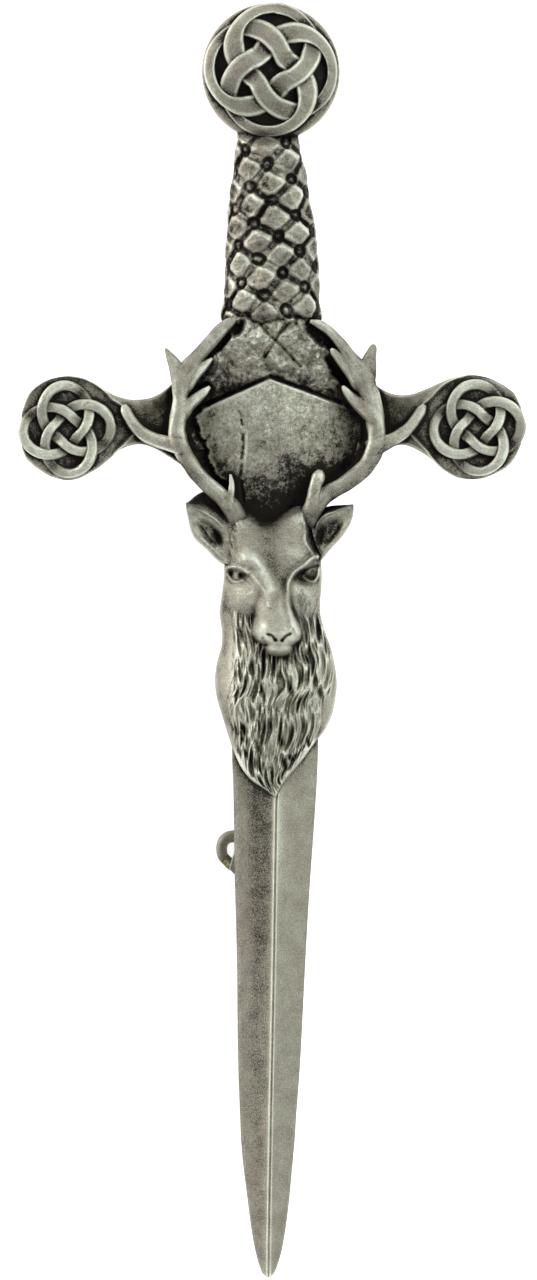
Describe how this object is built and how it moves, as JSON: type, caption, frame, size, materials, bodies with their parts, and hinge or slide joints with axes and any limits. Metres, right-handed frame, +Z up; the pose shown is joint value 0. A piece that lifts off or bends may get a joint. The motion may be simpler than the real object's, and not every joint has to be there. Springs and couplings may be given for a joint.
{
  "type": "kilt pin",
  "caption": "Kilt pin: cast metal dirk with a stag's head and antlers on its cross guard, round knotwork ends and pommel, a straight spring pin and a wire catch on its back.",
  "frame": {"origin": "middle of the footprint on the surface that the pin lies on, halfway between the pommel's top and the blade's point", "axes": "+X along the cross guard to the right, +Y from the blade's point towards the pommel, +Z up out of the decorated face"},
  "size_m": [0.042, 0.105, 0.0119],
  "materials": {
    "pewter": "satin cast pewter with a dark antique patina in its recesses",
    "steel": "plain drawn wire, lightly polished",
    "nickel": "nickel-plated brass, worn slightly yellow inside the curl"
  },
  "bodies": {
    "root": {"casting": "pewter", "pin": "steel", "catch": "nickel"}
  },
  "joints": []
}
